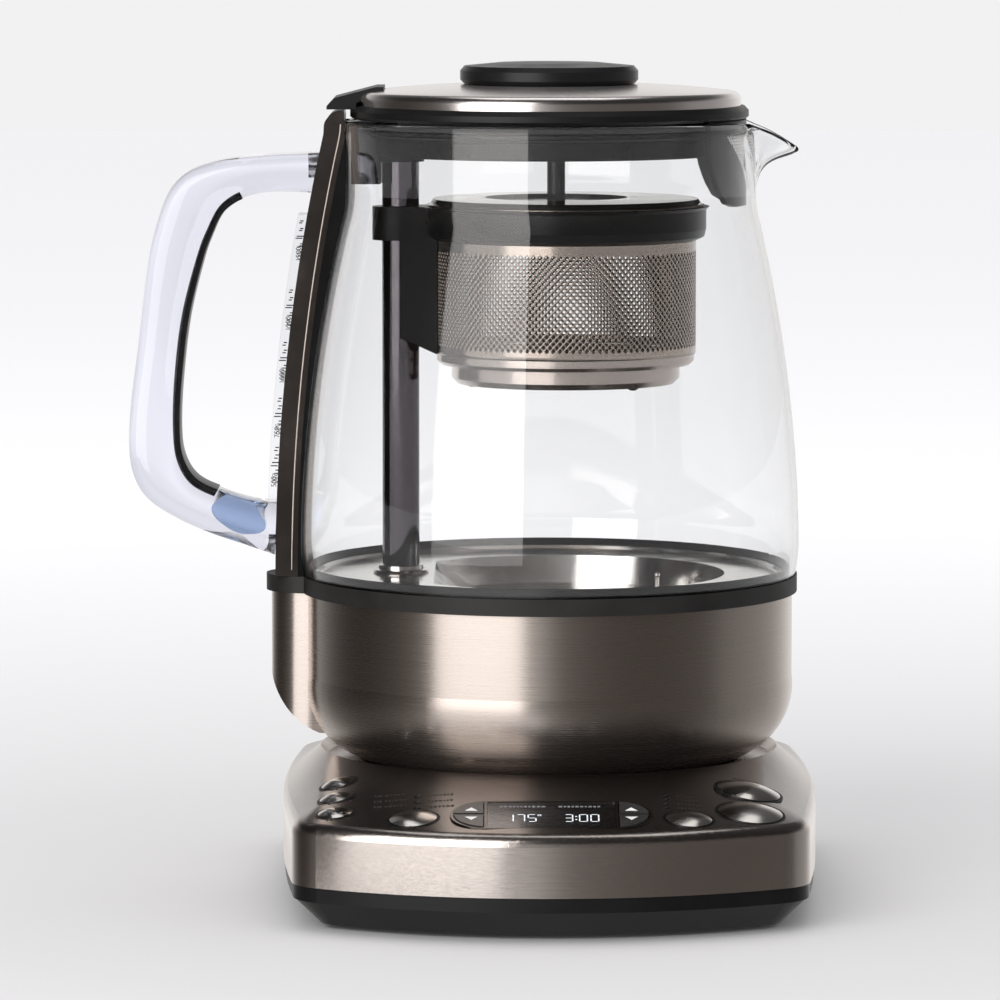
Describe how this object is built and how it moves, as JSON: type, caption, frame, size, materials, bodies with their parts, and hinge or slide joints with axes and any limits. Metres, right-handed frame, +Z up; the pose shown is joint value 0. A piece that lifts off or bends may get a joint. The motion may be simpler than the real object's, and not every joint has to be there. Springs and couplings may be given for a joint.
{
  "type": "electric all in one brewer",
  "caption": "Electric brewer: glass jug with a self-lowering perforated basket, clear handle and lift-off lid, on a powered base with buttons and a display.",
  "frame": {"origin": "on the jug's axis at the level of the table, in the middle of the rubber foot ring's underside", "axes": "+Z up along the jug's axis; the controls face -Y; the spout points to +X and the handle to -X"},
  "size_m": [0.2153, 0.228, 0.2582],
  "materials": {
    "steel_brushed": "horizontally brushed stainless steel",
    "steel_polished": "polished stainless steel",
    "steel_perforated": "etched stainless sheet with fine staggered holes",
    "black_plastic": "satin black moulded plastic",
    "black_gloss": "polished black plastic",
    "tray_plastic": "fine textured black plastic",
    "rubber_black": "matt black rubber",
    "silicone_grey": "grey silicone rubber",
    "clear_glass": "clear borosilicate glass",
    "clear_acrylic": "clear thick acrylic",
    "lens_dark": "smoked clear lens over a dark display",
    "display_dark": "dark display glass with light segments",
    "led_red": "unlit lamp lens",
    "board_green": "printed circuit board",
    "switch_black": "small moulded switch housings",
    "brass_contact": "plated contact metal",
    "aluminium_element": "sheathed heating element",
    "motor_metal": "zinc plated motor can and gearbox",
    "magnet_dark": "coated magnet",
    "strip_clear": "clear level strip with small dark marks",
    "zinc_screw": "zinc plated steel",
    "lug_blue": "dark tinted plastic insert"
  },
  "bodies": {
    "base": {"base_bottom_housing": "tray_plastic", "base_top_cover": "steel_brushed", "base_foot_ring": "rubber_black", "base_screws": "zinc_screw", "control_board": "board_green", "display_module": "display_dark", "display_lens": "lens_dark", "display_bezel": "steel_polished", "button_bezels": "black_plastic", "led_lenses": "led_red", "tact_switches": "switch_black", "base_connector": "black_plastic", "connector_contacts": "brass_contact", "cord_gland": "rubber_black"},
    "jug_socket": {"jug_socket": "black_plastic"},
    "jug": {"jug_shell": "steel_brushed", "jug_bottom_cover": "black_plastic", "heater_plate": "steel_polished", "heating_element": "aluminium_element", "temperature_probe": "steel_polished", "inner_gasket": "silicone_grey", "rubber_band": "rubber_black", "glass_body": "clear_glass", "post_tube": "steel_brushed", "post_flange": "steel_polished", "post_top_bracket": "black_plastic", "lift_motor": "motor_metal", "spine_strap": "steel_brushed", "spine_core": "black_plastic", "level_strip": "strip_clear", "handle": "clear_acrylic", "handle_grip": "black_plastic", "handle_lug": "lug_blue", "handle_screws": "zinc_screw"},
    "lead_screw": {"lead_screw": "zinc_screw"},
    "drive_magnet": {"drive_magnet": "magnet_dark"},
    "carriage": {"basket_carrier": "black_plastic", "carrier_magnet": "magnet_dark", "tea_basket": "steel_perforated", "basket_base": "steel_brushed", "basket_feet": "black_plastic", "basket_lid": "black_gloss"},
    "lid": {"lid_rim": "black_plastic", "lid_top": "steel_brushed", "lid_knob": "black_gloss", "lid_skirt": "black_plastic", "lid_seal": "silicone_grey", "spout_filter_frame": "black_plastic", "spout_filter_mesh": "steel_perforated"},
    "button_power": {"button_power": "steel_polished"},
    "button_keep_warm": {"button_keep_warm": "steel_polished"},
    "button_basket": {"button_basket": "steel_polished"},
    "button_tea_type": {"button_tea_type": "steel_polished"},
    "button_strength": {"button_strength": "steel_polished"},
    "button_hot_water": {"button_hot_water": "steel_polished"},
    "button_tea": {"button_tea": "steel_polished"},
    "key_temp_up": {"key_temp_up": "steel_polished"},
    "key_temp_down": {"key_temp_down": "steel_polished"},
    "key_time_up": {"key_time_up": "steel_polished"},
    "key_time_down": {"key_time_down": "steel_polished"}
  },
  "joints": [
    {"name": "jug_lift", "type": "slide", "parent": "base", "child": "jug_socket", "axis": [0, 0, 1], "range_m": [0, 0.06]},
    {"name": "jug_swivel", "type": "hinge", "parent": "jug_socket", "child": "jug", "pos_m": [0, 0, 0.05], "axis": [0, 0, 1], "continuous": true},
    {"name": "lid_lift", "type": "slide", "parent": "jug", "child": "lid", "axis": [0, 0, 1], "range_m": [0, 0.06]},
    {"name": "basket_travel", "type": "slide", "parent": "jug", "child": "carriage", "axis": [0, 0, 1], "range_m": [-0.06, 0]},
    {"name": "magnet_travel", "type": "slide", "parent": "jug", "child": "drive_magnet", "axis": [0, 0, 1], "range_m": [-0.06, 0]},
    {"name": "screw_turn", "type": "hinge", "parent": "jug", "child": "lead_screw", "pos_m": [-0.0466, 0, 0.15], "axis": [0, 0, 1], "range_deg": [-3606, 6]},
    {"name": "button_power_press", "type": "slide", "parent": "base", "child": "button_power", "axis": [-0.2696, -0.1151, 0.9561], "range_m": [-0.0006, 0], "stiffness_N_per_m": 800, "springref_m": 0.0006},
    {"name": "button_keep_warm_press", "type": "slide", "parent": "base", "child": "button_keep_warm", "axis": [-0.2138, -0.1026, 0.9715], "range_m": [-0.0006, 0], "stiffness_N_per_m": 800, "springref_m": 0.0006},
    {"name": "button_basket_press", "type": "slide", "parent": "base", "child": "button_basket", "axis": [-0.1186, -0.1556, 0.9807], "range_m": [-0.0006, 0], "stiffness_N_per_m": 800, "springref_m": 0.0006},
    {"name": "button_tea_type_press", "type": "slide", "parent": "base", "child": "button_tea_type", "axis": [-0.0678, -0.187, 0.98], "range_m": [-0.0006, 0], "stiffness_N_per_m": 800, "springref_m": 0.0006},
    {"name": "button_strength_press", "type": "slide", "parent": "base", "child": "button_strength", "axis": [0.0674, -0.1869, 0.9801], "range_m": [-0.0006, 0], "stiffness_N_per_m": 800, "springref_m": 0.0006},
    {"name": "button_hot_water_press", "type": "slide", "parent": "base", "child": "button_hot_water", "axis": [0.182, -0.1205, 0.9759], "range_m": [-0.0006, 0], "stiffness_N_per_m": 800, "springref_m": 0.0006},
    {"name": "button_tea_press", "type": "slide", "parent": "base", "child": "button_tea", "axis": [0.0982, -0.169, 0.9807], "range_m": [-0.0006, 0], "stiffness_N_per_m": 800, "springref_m": 0.0006},
    {"name": "key_temp_up_press", "type": "slide", "parent": "base", "child": "key_temp_up", "axis": [0.0001, -0.2014, 0.9795], "range_m": [-0.0006, 0], "stiffness_N_per_m": 800, "springref_m": 0.0006},
    {"name": "key_temp_down_press", "type": "slide", "parent": "base", "child": "key_temp_down", "axis": [0.0001, -0.2014, 0.9795], "range_m": [-0.0006, 0], "stiffness_N_per_m": 800, "springref_m": 0.0006},
    {"name": "key_time_up_press", "type": "slide", "parent": "base", "child": "key_time_up", "axis": [0.0001, -0.2014, 0.9795], "range_m": [-0.0006, 0], "stiffness_N_per_m": 800, "springref_m": 0.0006},
    {"name": "key_time_down_press", "type": "slide", "parent": "base", "child": "key_time_down", "axis": [0.0001, -0.2014, 0.9795], "range_m": [-0.0006, 0], "stiffness_N_per_m": 800, "springref_m": 0.0006}
  ],
  "couplings": [
    {"joint": "magnet_travel", "follows": "basket_travel", "ratio": 1},
    {"joint": "screw_turn", "follows": "basket_travel", "rad_per_m": 1047.2}
  ]
}
